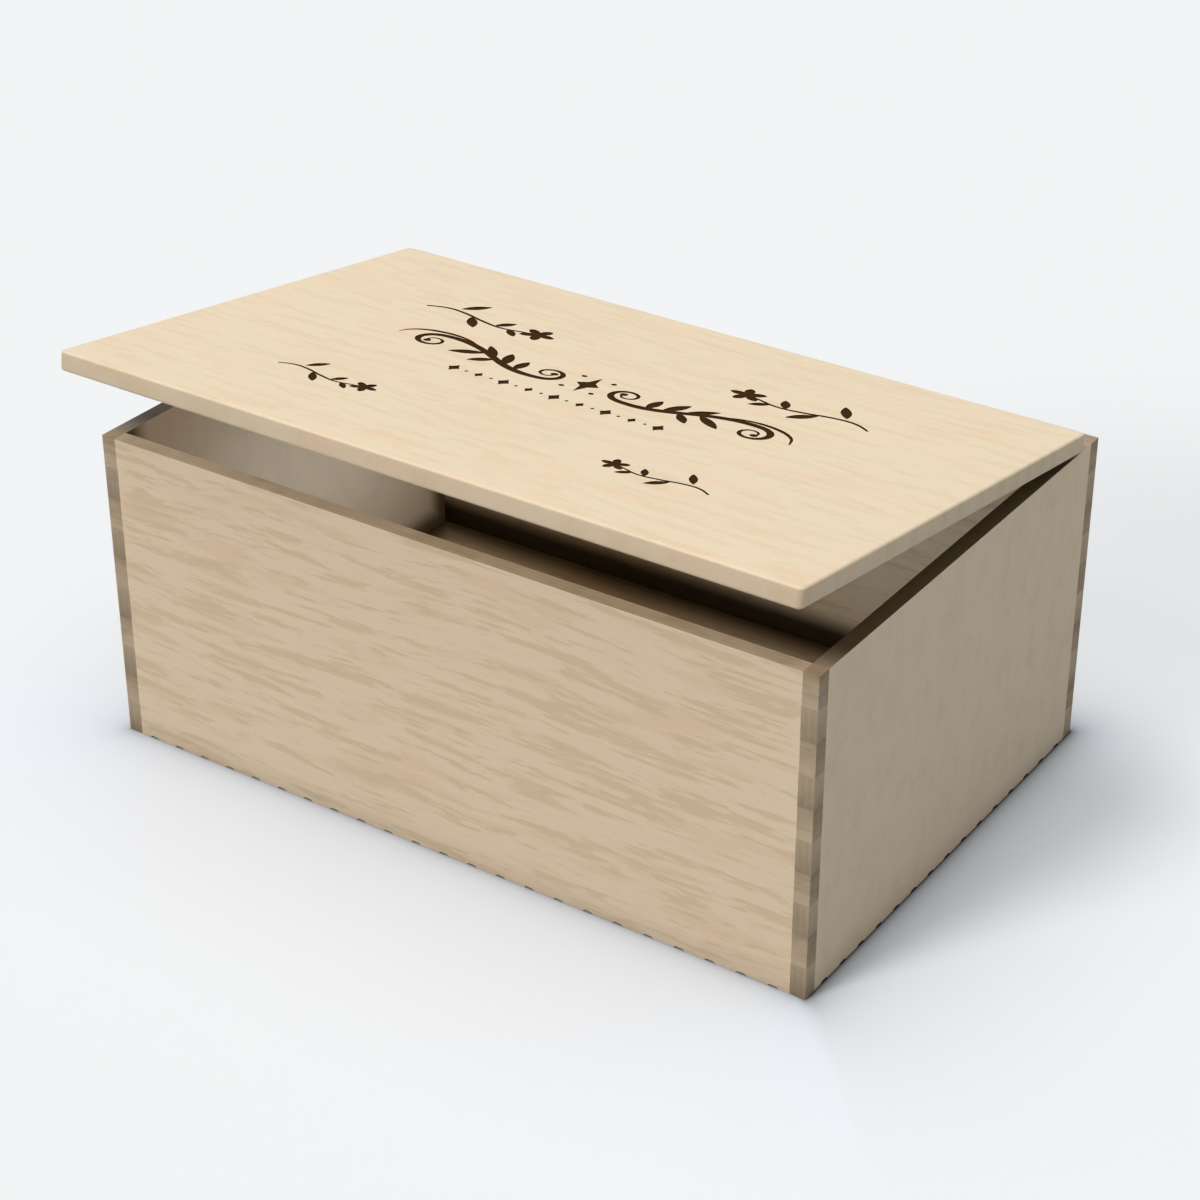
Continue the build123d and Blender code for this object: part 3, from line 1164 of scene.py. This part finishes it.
@dataclass
class Lid:
    """The lid board with its engraving."""

    nodes: dict[str, bpy.types.Object]
    hinge: Vector
    ajar: float  # radians that the lid stands open at rest
    engraving_depth: float = 0.35 * MM
    sharp_from: float = 32.0  # degrees between two faces from which their edge is sharp
    wood: Veneer = Veneer(
        base="EDD9BA",
        streak="E1CBA6",
        flush="EFD1B0",
        streak_share=0.4,
        flush_share=0.6,
        streak_length=27.0,
        streak_width=4.2,
    )

    def to_frame(self) -> Matrix:
        """The lid's own frame, at the hinge line and turned with the lid."""
        return Matrix.Translation(self.hinge) @ Matrix.Rotation(-self.ajar, 4, "X")

    def ornament(self) -> list[Outline]:
        """Draws everything that is engraved.

        Returns:
            Its outlines, in mm from the middle of the lid.
        """
        parts: list[Outline] = []
        for sprig in (
            Sprig((-47.3, 44.1)),
            Sprig((44.6, 44.1), mirrored=True),
            Sprig((-53.9, -52.6), scale=0.745),
            Sprig((51.2, -52.6), scale=0.745, mirrored=True),
        ):
            parts += sprig.outlines()
        parts += Scrollwork((-1.4, 9.0)).outlines()
        parts += LozengeRow((-2.0, -11.1)).outlines()
        return parts

    def build(self) -> None:
        """Builds the engraved lid in place of the plain one."""
        flat = bmesh.new()
        flat.from_mesh(self.nodes["lid_panel"].data)
        bmesh.ops.remove_doubles(flat, verts=flat.verts, dist=WELD)
        flat.transform(self.to_frame().inverted())
        for face in flat.faces:
            face.smooth = True
        self.engrave(flat)
        flat.transform(self.to_frame())
        mesh = bpy.data.meshes.new("engraved_lid")
        flat.to_mesh(mesh)
        flat.free()
        crease(mesh, self.sharp_from)
        piece = new_piece("engraved_lid", mesh)
        finish = SandedBoard(
            name="basswood_lid",
            wood=self.wood,
            seed=23.0,
            roughness=0.62,
            tilt=self.ajar,
            edge_tone=0.84,
        )
        dress(piece, finish.material(), CharredWood().material())
        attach(piece, "lid")
        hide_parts("lid_panel")
        LOG.info("engraved_lid: %d faces", len(mesh.polygons))

    def engrave(self, board: bmesh.types.BMesh) -> None:
        """Sinks the ornament into the board's top face.

        Args:
            board: the lid in its own frame, whose top face is level.
        """
        top = max(vert.co.z for vert in board.verts)
        faces = [f for f in board.faces if all(abs(v.co.z - top) < 2 * WELD for v in f.verts)]
        inside = set(faces)
        rim = [e for f in faces for e in f.edges if len(inside.intersection(e.link_faces)) == 1]
        outline = self.loop(rim)
        middle_y = (max(v.co.y for v in board.verts) + min(v.co.y for v in board.verts)) / 2

        # In millimetres, because the tolerance would be coarse for metres.
        within_outlines, tolerance = 1, 1e-5
        coordinates = [vert.co.xy / MM for vert in outline]
        rings = [list(range(len(outline)))]
        for part in self.ornament():
            rings.append(list(range(len(coordinates), len(coordinates) + len(part))))
            coordinates += [Vector((x, middle_y / MM + y)) for x, y in anticlockwise(part)]
        places, _, triangles, sources, _, origins = delaunay_2d_cdt(
            coordinates, [], rings, within_outlines, tolerance
        )

        bmesh.ops.delete(board, geom=faces, context="FACES_KEEP_BOUNDARY")
        upper: dict[int, bmesh.types.BMVert] = {}
        lower: dict[int, bmesh.types.BMVert] = {}

        def vertex(number: int, sunk: bool) -> bmesh.types.BMVert:
            """Finds the board's vertex for one place of the triangulation.

            Args:
                number: the number of the place.
                sunk: whether the vertex is wanted at the engraving's floor.

            Returns:
                The vertex, which is made when it is first asked for.
            """
            known = lower if sunk else upper
            if number not in known:
                on_rim = [source for source in sources[number] if source < len(outline)]
                if on_rim and not sunk:
                    known[number] = outline[on_rim[0]]
                else:
                    x, y = places[number] * MM
                    height = top - self.engraving_depth if sunk else top
                    known[number] = board.verts.new((x, y, height))
            return known[number]

        on_outline = set(outline)
        borders: dict[tuple[int, int], list[bool]] = {}
        for corners, origin in zip(triangles, origins):
            sunk = any(ring > 0 for ring in origin)
            face = board.faces.new([vertex(number, sunk) for number in corners])
            face.material_index = 1 if sunk else 0
            # Only the faces at the rim are smoothed, into the board's rounded edge.
            face.smooth = any(vert in on_outline for vert in face.verts)
            if face.normal.z < 0:
                face.normal_flip()
            for edge in zip(corners, [*corners[1:], corners[0]]):
                borders.setdefault(tuple(sorted(edge)), []).append(sunk)
        for (start, end), sides in borders.items():
            if len(sides) == 2 and sides[0] != sides[1]:
                upright = ((start, False), (end, False), (end, True), (start, True))
                wall = board.faces.new([vertex(*corner) for corner in upright])
                wall.material_index = 1
        bmesh.ops.recalc_face_normals(board, faces=board.faces)

    @staticmethod
    def loop(edges: Sequence[bmesh.types.BMEdge]) -> list[bmesh.types.BMVert]:
        """Follows a closed loop of edges.

        Args:
            edges: the loop's edges, in any order.

        Returns:
            Its vertices, anticlockwise.
        """
        following: dict[bmesh.types.BMVert, list[bmesh.types.BMVert]] = {}
        for edge in edges:
            first, second = edge.verts
            following.setdefault(first, []).append(second)
            following.setdefault(second, []).append(first)
        start = edges[0].verts[0]
        loop = [start]
        came_from, here = start, following[start][0]
        while here is not start:
            loop.append(here)
            ahead = [vert for vert in following[here] if vert is not came_from]
            came_from, here = here, ahead[0]
        order = {tuple(vert.co.xy): vert for vert in loop}
        return [order[place] for place in anticlockwise(list(order))]


@dataclass
class Hardware:
    """The two butt hinges: their leaves and pins, and the slotted screws."""

    nodes: dict[str, bpy.types.Object]
    lid_frame: Matrix
    case_frame: Matrix
    slot_width: float = 0.55 * MM
    slot_depth: float = 0.35 * MM
    slot_turn: float = 40.0  # radians for each metre along the hinge, so that no two slots line up
    head_reach: float = 4 * MM  # more than a head's width, and less than from head to head
    head_flatness: float = 0.05 * MM
    sharp_from: float = 30.0  # degrees between two faces from which their edge is sharp

    def build(self) -> None:
        """Dresses the leaves and pins, and builds the screws."""
        rolled = Brass("rolled_brass", roughness=0.3, lines=(12.0, 0.12, 0.12)).material()
        drawn = Brass("drawn_brass", roughness=0.2, lines=(20.0, 0.1, 0.1)).material()
        turned = Brass("turned_brass", roughness=0.26, lines=(0.3, 0.3, 3.0)).material()
        for side in ("left", "right"):
            for part, brass in (("case_leaf", rolled), ("lid_leaf", rolled), ("pin", drawn)):
                name = f"{side}_hinge_{part}"
                dress(self.nodes[name], brass)
                LOG.info("%s: %s", name, brass.name)
        self.screws("case", self.case_frame, turned)
        self.screws("lid", self.lid_frame, turned)

    def screws(self, body: str, own_frame: Matrix, brass: bpy.types.Material) -> None:
        """Cuts the slots into the screws of one body.

        Args:
            body: the body that the screws are in.
            own_frame: the frame of their leaf, whose Z is the screws' axis.
            brass: their finish.
        """
        source = self.nodes[f"{body}_hinge_screws"]
        whole = bmesh.new()
        whole.from_mesh(source.data)
        bmesh.ops.remove_doubles(whole, verts=whole.verts, dist=WELD)
        mesh = bpy.data.meshes.new(f"{body}_slotted_screws")
        whole.to_mesh(mesh)
        whole.transform(own_frame.inverted())
        # The heads are at the end of the screws that is nearer to the hinge line's plane.
        near = min((vert.co.z for vert in whole.verts), key=abs)
        centres = self.head_centres(whole, near)
        whole.free()
        piece = new_piece(f"{body}_slotted_screws", mesh)

        cutter = bmesh.new()
        block = Matrix.Diagonal((self.head_reach, self.slot_width, 2 * self.slot_depth, 1))
        for centre in centres:
            at_head = Matrix.Translation((centre.x, centre.y, near))
            turned = Matrix.Rotation(centre.x * self.slot_turn, 4, "Z")
            bmesh.ops.create_cube(cutter, size=1.0, matrix=own_frame @ at_head @ turned @ block)
        cutter_mesh = bpy.data.meshes.new("slot_cutter")
        cutter.to_mesh(cutter_mesh)
        cutter.free()
        tool = new_piece("slot_cutter", cutter_mesh)
        cut = piece.modifiers.new("slots", "BOOLEAN")
        cut.object = tool
        cut.operation = "DIFFERENCE"
        cut.solver = "EXACT"
        evaluated = piece.evaluated_get(bpy.context.evaluated_depsgraph_get())
        piece.data = bpy.data.meshes.new_from_object(evaluated)
        piece.modifiers.clear()
        bpy.data.objects.remove(tool)
        piece.data.shade_smooth()
        crease(piece.data, self.sharp_from)
        dress(piece, brass)
        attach(piece, body)
        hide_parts(source.name)
        LOG.info("%s: %d screws", piece.name, len(centres))

    def head_centres(self, whole: bmesh.types.BMesh, near: float) -> list[Vector]:
        """Finds the screws' heads.

        Args:
            whole: the screws, in the leaf's frame.
            near: how high in that frame the flat of the heads is.

        Returns:
            The middle of each head.
        """
        groups: list[list[Vector]] = []
        for vert in whole.verts:
            if abs(vert.co.z - near) > self.head_flatness:
                continue
            for group in groups:
                if (group[0].xy - vert.co.xy).length < self.head_reach:
                    group.append(vert.co.copy())
                    break
            else:
                groups.append([vert.co.copy()])
        return [sum(group, Vector()) / len(group) for group in groups]


# ------------------------------------------------------------------ the studio


@dataclass(frozen=True)
class Sun:
    """One soft, distant lamp."""

    name: str
    towards: tuple[float, float, float]  # from the box to the lamp
    level: float  # share of the light on a surface that faces the lamp
    spread: float  # degrees of sky that it covers, which softens its shadows
    colour: str = "FFFFFF"

    def build(self) -> None:
        """Hangs the lamp."""
        light = bpy.data.lights.new(self.name, "SUN")
        light.energy = math.pi * self.level
        light.angle = math.radians(self.spread)
        light.color = linear(self.colour)[:3]
        lamp = bpy.data.objects.new(self.name, light)
        lamp.rotation_euler = Vector(self.towards).to_track_quat("Z", "Y").to_euler()
        bpy.context.scene.collection.objects.link(lamp)


@dataclass(frozen=True)
class WallLamp:
    """A small panel lamp inside the case that lifts one wall's inner face, itself unseen."""

    name: str
    at: tuple[float, float, float]
    turn: tuple[float, float, float]  # degrees; unturned, it shines down
    size: Point  # m
    watts: float
    colour: str
    spread: float = 100.0  # degrees of its cone

    def build(self) -> None:
        """Hangs the lamp."""
        light = bpy.data.lights.new(self.name, "AREA")
        light.shape = "RECTANGLE"
        light.size, light.size_y = self.size
        light.spread = math.radians(self.spread)
        light.energy = self.watts
        light.color = linear(self.colour)[:3]
        lamp = bpy.data.objects.new(self.name, light)
        lamp.location = self.at
        lamp.rotation_euler = [math.radians(angle) for angle in self.turn]
        lamp.visible_camera = False
        lamp.visible_glossy = False
        bpy.context.scene.collection.objects.link(lamp)


def camera_share(node: AddNode) -> Socket:
    """Tells the rays that the camera sees, straight or in gloss or glass, from other light.

    Args:
        node: add_node bound to the tree of a material or of the world.

    Returns:
        1 for those rays, and 0 for the others.
    """
    path = node("ShaderNodeLightPath").outputs
    share = path["Is Camera Ray"]
    for kind in ("Is Glossy Ray", "Is Transmission Ray"):
        share = node("ShaderNodeMath", {0: share, 1: path[kind]}, operation="MAXIMUM").outputs[0]
    return share


@dataclass(frozen=True)
class StudioPaper:
    """Matt white backdrop paper, laid under the box.

    To the eye: plain white. Painted shade gives it a dark line where the box stands, a soft and
    slightly blue shade round it that is strongest on its right, and a faint wide one behind it.
    Painted light lifts part of the cast shadow behind the box.
    """

    half_width: float  # m, of the case that stands on it
    half_depth: float  # m
    backdrop: str  # what the paper goes over into, far from the box
    name: str = "studio_paper"
    sheet: str = "EFF0F1"  # as the camera sees it, under a little more than full light
    bounce: float = 0.3  # reflectance for the light that it throws back
    contact_front: float = 0.68  # share of the light that painted shade takes right beside the case, at its front
    contact_left: float = 0.3  # the same at its left
    contact_dark: float = 1.28  # the same on the shadow side, before contact_least cuts it off
    contact_fade: float = 0.6  # how fast that falls, by the square root of the distance in mm
    contact_least: float = 0.03  # share of the light that is always left
    # Painted blue shade: what the paper is multiplied by right at the case, in front of it and
    # elsewhere.
    cool_front: tuple[float, float, float, float] = (1.01, 1.065, 1.15, 1.0)
    cool_beside: tuple[float, float, float, float] = (0.99, 1.025, 1.085, 1.0)
    cool_reach: float = 90.0  # mm over which that fades to 0.37 of its depth
    shadow_edge: float = 4.0  # mm to each side of the line where the shadow side begins
    fill_behind: float = 0.75  # share of the shadow that painted light fills in well behind the case
    fill_from: Point = (0.06, 0.13)  # m behind the case's middle, over which the fill comes in
    fill_reach: float = 25.0  # mm from the case at which 0.63 of the fill has come in
    far_shade_at: tuple[float, float, float] = (0.125, 0.262, 0.0)  # m
    far_shade_reach: float = 0.08  # m over which it fades to 0.6 of its depth
    far_shade_depth: float = 0.12  # share of the light lost in its middle

    def material(self) -> bpy.types.Material:
        """Builds the material.

        Returns:
            The material.
        """
        material, node = new_material(self.name)
        place = node("ShaderNodeTexCoord").outputs["Object"]
        back = node("ShaderNodeSeparateXYZ", {0: place}).outputs["Y"]
        distance = self.distance(node, place)
        sides = self.sides(node, place, back)
        far_shade = self.far_shade(node, place)
        seen = camera_share(node)
        shown = node(
            "ShaderNodeMix",
            {0: seen, 6: (self.bounce,) * 3 + (1.0,), 7: linear(self.sheet)},
            data_type="RGBA",
        ).outputs[2]
        colour = node(
            "ShaderNodeVectorMath",
            {0: shown, 1: self.cool_shade(node, distance, *sides)},
            operation="MULTIPLY",
        ).outputs[0]
        for kept in (self.contact_shade(node, distance, *sides), far_shade):
            colour = node("ShaderNodeVectorMath", {0: colour, 3: kept}, operation="SCALE").outputs[0]
        matt = node("ShaderNodeBsdfDiffuse", {"Color": colour}).outputs[0]
        # painted light in the backdrop's colour, which the camera sees over the shadow behind the
        # case
        painted_light = node(
            "ShaderNodeEmission", {"Color": linear(self.backdrop), "Strength": far_shade}
        ).outputs[0]
        painted_fill = self.painted_fill(node, distance, back)
        share = node("ShaderNodeMath", {0: seen, 1: painted_fill}, operation="MULTIPLY").outputs[0]
        surface = node("ShaderNodeMixShader", {0: share, 1: matt, 2: painted_light}).outputs[0]
        node("ShaderNodeOutputMaterial", {"Surface": surface})
        return material

    def distance(self, node: AddNode, place: Socket) -> Socket:
        """Measures how far the paper is from the case.

        Args:
            node: add_node bound to the material's tree.
            place: where on the paper the shader is, in metres.

        Returns:
            The distance in mm, which is 0 under the case.
        """
        outside = place
        for operation, *other in (
            ("ABSOLUTE",),
            ("SUBTRACT", (self.half_width, self.half_depth, 1.0)),
            ("MAXIMUM", (0.0, 0.0, 0.0)),
        ):
            terms = dict(enumerate((outside, *other)))
            outside = node("ShaderNodeVectorMath", terms, operation=operation).outputs[0]
        metres = node("ShaderNodeVectorMath", {0: outside}, operation="LENGTH").outputs["Value"]
        return node("ShaderNodeMath", {0: metres, 1: MM}, operation="DIVIDE").outputs[0]

    def sides(self, node: AddNode, place: Socket, back: Socket) -> tuple[Socket, Socket]:
        """Tells the paper on the shadow side and beside the case from the paper in front.

        Args:
            node: add_node bound to the material's tree.
            place: where on the paper the shader is, in metres.
            back: how far back that is, in metres.

        Returns:
            1 on the shadow side, past the diagonal through the front right corner, and else 0.
            Then 1 beside the case and behind it, and 0 in front.
        """
        diagonal = node(
            "ShaderNodeVectorMath", {0: place, 1: (1.0, 1.0, 0.0)}, operation="DOT_PRODUCT"
        ).outputs["Value"]
        past = node(
            "ShaderNodeMath",
            {0: diagonal, 1: self.half_width - self.half_depth},
            operation="SUBTRACT",
        ).outputs[0]
        edge = self.shadow_edge * MM
        shadow_side = node(
            "ShaderNodeMapRange", {"Value": past, "From Min": -edge, "From Max": edge}
        ).outputs[0]
        beside = node(
            "ShaderNodeMapRange",
            {"Value": back, "From Min": -self.half_depth, "From Max": -self.half_depth / 2},
        ).outputs[0]
        return shadow_side, beside

    def contact_shade(
        self, node: AddNode, distance: Socket, shadow_side: Socket, beside: Socket
    ) -> Socket:
        """Paints shade onto the paper towards the case.

        Args:
            node: add_node bound to the material's tree.
            distance: mm from the case.
            shadow_side: 1 on the shadow side.
            beside: 1 beside the case.

        Returns:
            What is left of the light, up to 1.
        """
        lit = node(
            "ShaderNodeMix", {0: beside, 2: self.contact_front, 3: self.contact_left}
        ).outputs[0]
        strength = node("ShaderNodeMix", {0: shadow_side, 2: lit, 3: self.contact_dark}).outputs[0]
        left = distance
        for operation, *others in (
            ("SQRT",),
            ("MULTIPLY", -self.contact_fade),
            ("EXPONENT",),
            ("MULTIPLY", strength),
            ("MULTIPLY_ADD", -1.0, 1.0),
            ("MAXIMUM", self.contact_least),
        ):
            terms = dict(enumerate((left, *others)))
            left = node("ShaderNodeMath", terms, operation=operation).outputs[0]
        return left

    def cool_shade(self, node: AddNode, distance: Socket, shadow_side: Socket, beside: Socket) -> Socket:
        """Paints a slightly blue shade onto the paper towards the case.

        Args:
            node: add_node bound to the material's tree.
            distance: mm from the case.
            shadow_side: 1 on the shadow side.
            beside: 1 beside the case.

        Returns:
            The colour that the paper is multiplied by.
        """
        away_from_front = node(
            "ShaderNodeMath", {0: shadow_side, 1: beside}, operation="MAXIMUM"
        ).outputs[0]
        coolest = node(
            "ShaderNodeMix",
            {0: away_from_front, 6: self.cool_front, 7: self.cool_beside},
            data_type="RGBA",
        ).outputs[2]
        reaches = node(
            "ShaderNodeMath", {0: distance, 1: -self.cool_reach}, operation="DIVIDE"
        ).outputs[0]
        share = node("ShaderNodeMath", {0: reaches}, operation="EXPONENT").outputs[0]
        return node("ShaderNodeMix", {0: share, 6: WHITE, 7: coolest}, data_type="RGBA").outputs[2]

    def painted_fill(self, node: AddNode, distance: Socket, back: Socket) -> Socket:
        """Fills in the shadow behind the case with painted light.

        Args:
            node: add_node bound to the material's tree.
            distance: mm from the case.
            back: how far back the shader is, in metres.

        Returns:
            The share of the shadow that the painted light fills in.
        """
        behind = node(
            "ShaderNodeMapRange",
            {
                "Value": back,
                "From Min": self.fill_from[0],
                "From Max": self.fill_from[1],
                "To Max": self.fill_behind,
            },
            interpolation_type="SMOOTHSTEP",
        ).outputs[0]
        share = distance
        for operation, *others in (
            ("DIVIDE", -self.fill_reach),
            ("EXPONENT",),
            ("MULTIPLY_ADD", -1.0, 1.0),
            ("MULTIPLY", behind),
        ):
            terms = dict(enumerate((share, *others)))
            share = node("ShaderNodeMath", terms, operation=operation).outputs[0]
        return share

    def far_shade(self, node: AddNode, place: Socket) -> Socket:
        """Paints a faint, wide shade onto the paper behind the box, on its right.

        Args:
            node: add_node bound to the material's tree.
            place: where on the paper the shader is, in metres.

        Returns:
            What is left of the light.
        """
        left = node(
            "ShaderNodeVectorMath", {0: place, 1: self.far_shade_at}, operation="DISTANCE"
        ).outputs["Value"]
        for operation, *others in (
            ("DIVIDE", self.far_shade_reach),
            ("POWER", 2.0),
            ("MULTIPLY", -0.5),
            ("EXPONENT",),
            ("MULTIPLY_ADD", -self.far_shade_depth, 1.0),
        ):
            terms = dict(enumerate((left, *others)))
            left = node("ShaderNodeMath", terms, operation=operation).outputs[0]
        return left


@dataclass
class Studio:
    """A plain pale floor under soft light, and the camera at the photograph's angle."""

    backdrop: str = "F2F4F5"
    floor_reach: float = 6.0  # m from the box to the floor's edges
    sky: tuple[float, float, float] = (0.425, 0.44, 0.458)  # its light on the box
    suns: Sequence[Sun] = (
        Sun("key", towards=(-0.257, -0.65, 0.714), level=0.43, spread=15.0, colour="FFFBF5"),
        Sun("overhead", towards=(0.0, 0.0, 1.0), level=0.30, spread=65.0),
    )
    wall_lamps: Sequence[WallLamp] = (
        WallLamp(
            "left_wall_lamp",
            at=(-0.035, 0.008, 0.07),
            turn=(0.0, 90.0, 0.0),
            size=(0.05, 0.15),
            watts=0.026,
            colour="DDEAFA",
        ),
        WallLamp(
            "back_wall_lamp",
            at=(0.065, -0.03, 0.072),
            turn=(90.0, 0.0, 0.0),
            size=(0.12, 0.05),
            watts=0.013,
            colour="D4EDFF",
        ),
    )
    camera_at: tuple[float, float, float] = (0.5130, -0.7593, 0.5852)
    camera_turn: tuple[float, float, float] = (60.07, 0.0, 34.04)  # degrees
    lens: float = 84.84  # mm
    sensor: float = 36.0  # mm, its width
    sight: Point = (0.01, 50.0)  # m, the nearest and the furthest that the camera sees

    def build(self) -> None:
        """Builds the floor, the light and the camera."""
        self.add_floor()
        self.add_world()
        for lamp in (*self.suns, *self.wall_lamps):
            lamp.build()
        self.add_camera()

    def add_floor(self) -> None:
        """Lays a level sheet of paper."""
        corners = [(side_x, side_y, 0) for side_x, side_y in ((-1, -1), (1, -1), (1, 1), (-1, 1))]
        mesh = bpy.data.meshes.new("studio_floor")
        mesh.from_pydata(corners, [], [(0, 1, 2, 3)])
        mesh.transform(Matrix.Scale(self.floor_reach, 4))
        floor = new_piece("studio_floor", mesh)
        half_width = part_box("front_panel")[1].x
        half_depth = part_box("back_panel")[1].y
        dress(floor, StudioPaper(half_width, half_depth, self.backdrop).material())

    def add_world(self) -> None:
        """Lights the scene with an even pale sky, which the camera sees as the backdrop."""
        world = bpy.data.worlds.new("studio_sky")
        world.use_nodes = True
        world.node_tree.nodes.clear()
        node = partial(add_node, world.node_tree)
        sky = node(
            "ShaderNodeMix",
            {0: camera_share(node), 6: (*self.sky, 1.0), 7: linear(self.backdrop)},
            data_type="RGBA",
        ).outputs[2]
        background = node("ShaderNodeBackground", {"Color": sky, "Strength": 1.0})
        node("ShaderNodeOutputWorld", {"Surface": background.outputs[0]})
        bpy.context.scene.world = world

    def add_camera(self) -> None:
        """Sets up the camera that took the photograph, as solved from the box's edges."""
        data = bpy.data.cameras.new("camera")
        data.lens = self.lens
        data.sensor_width = self.sensor
        data.sensor_fit = "HORIZONTAL"
        data.clip_start, data.clip_end = self.sight
        camera = bpy.data.objects.new("camera", data)
        camera.location = self.camera_at
        camera.rotation_euler = [math.radians(angle) for angle in self.camera_turn]
        bpy.context.scene.collection.objects.link(camera)
        bpy.context.scene.camera = camera


# ------------------------------------------------------------------ the scene


def main() -> None:
    """Builds the box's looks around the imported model."""
    logging.basicConfig(level=logging.INFO, format="%(message)s")
    bpy.context.scene.view_settings.view_transform = "Standard"
    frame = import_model()
    nodes = frame["nodes"]
    joint = frame["joints"][0]
    hinge = Vector(joint["pos_m"])
    ajar = math.radians(-joint["range_deg"][0])

    Carcass(nodes).build()
    lid = Lid(nodes, hinge, ajar)
    lid.build()
    Hardware(nodes, lid.to_frame(), Matrix.Translation(hinge)).build()
    Studio().build()


if __name__ == "__main__":
    main()
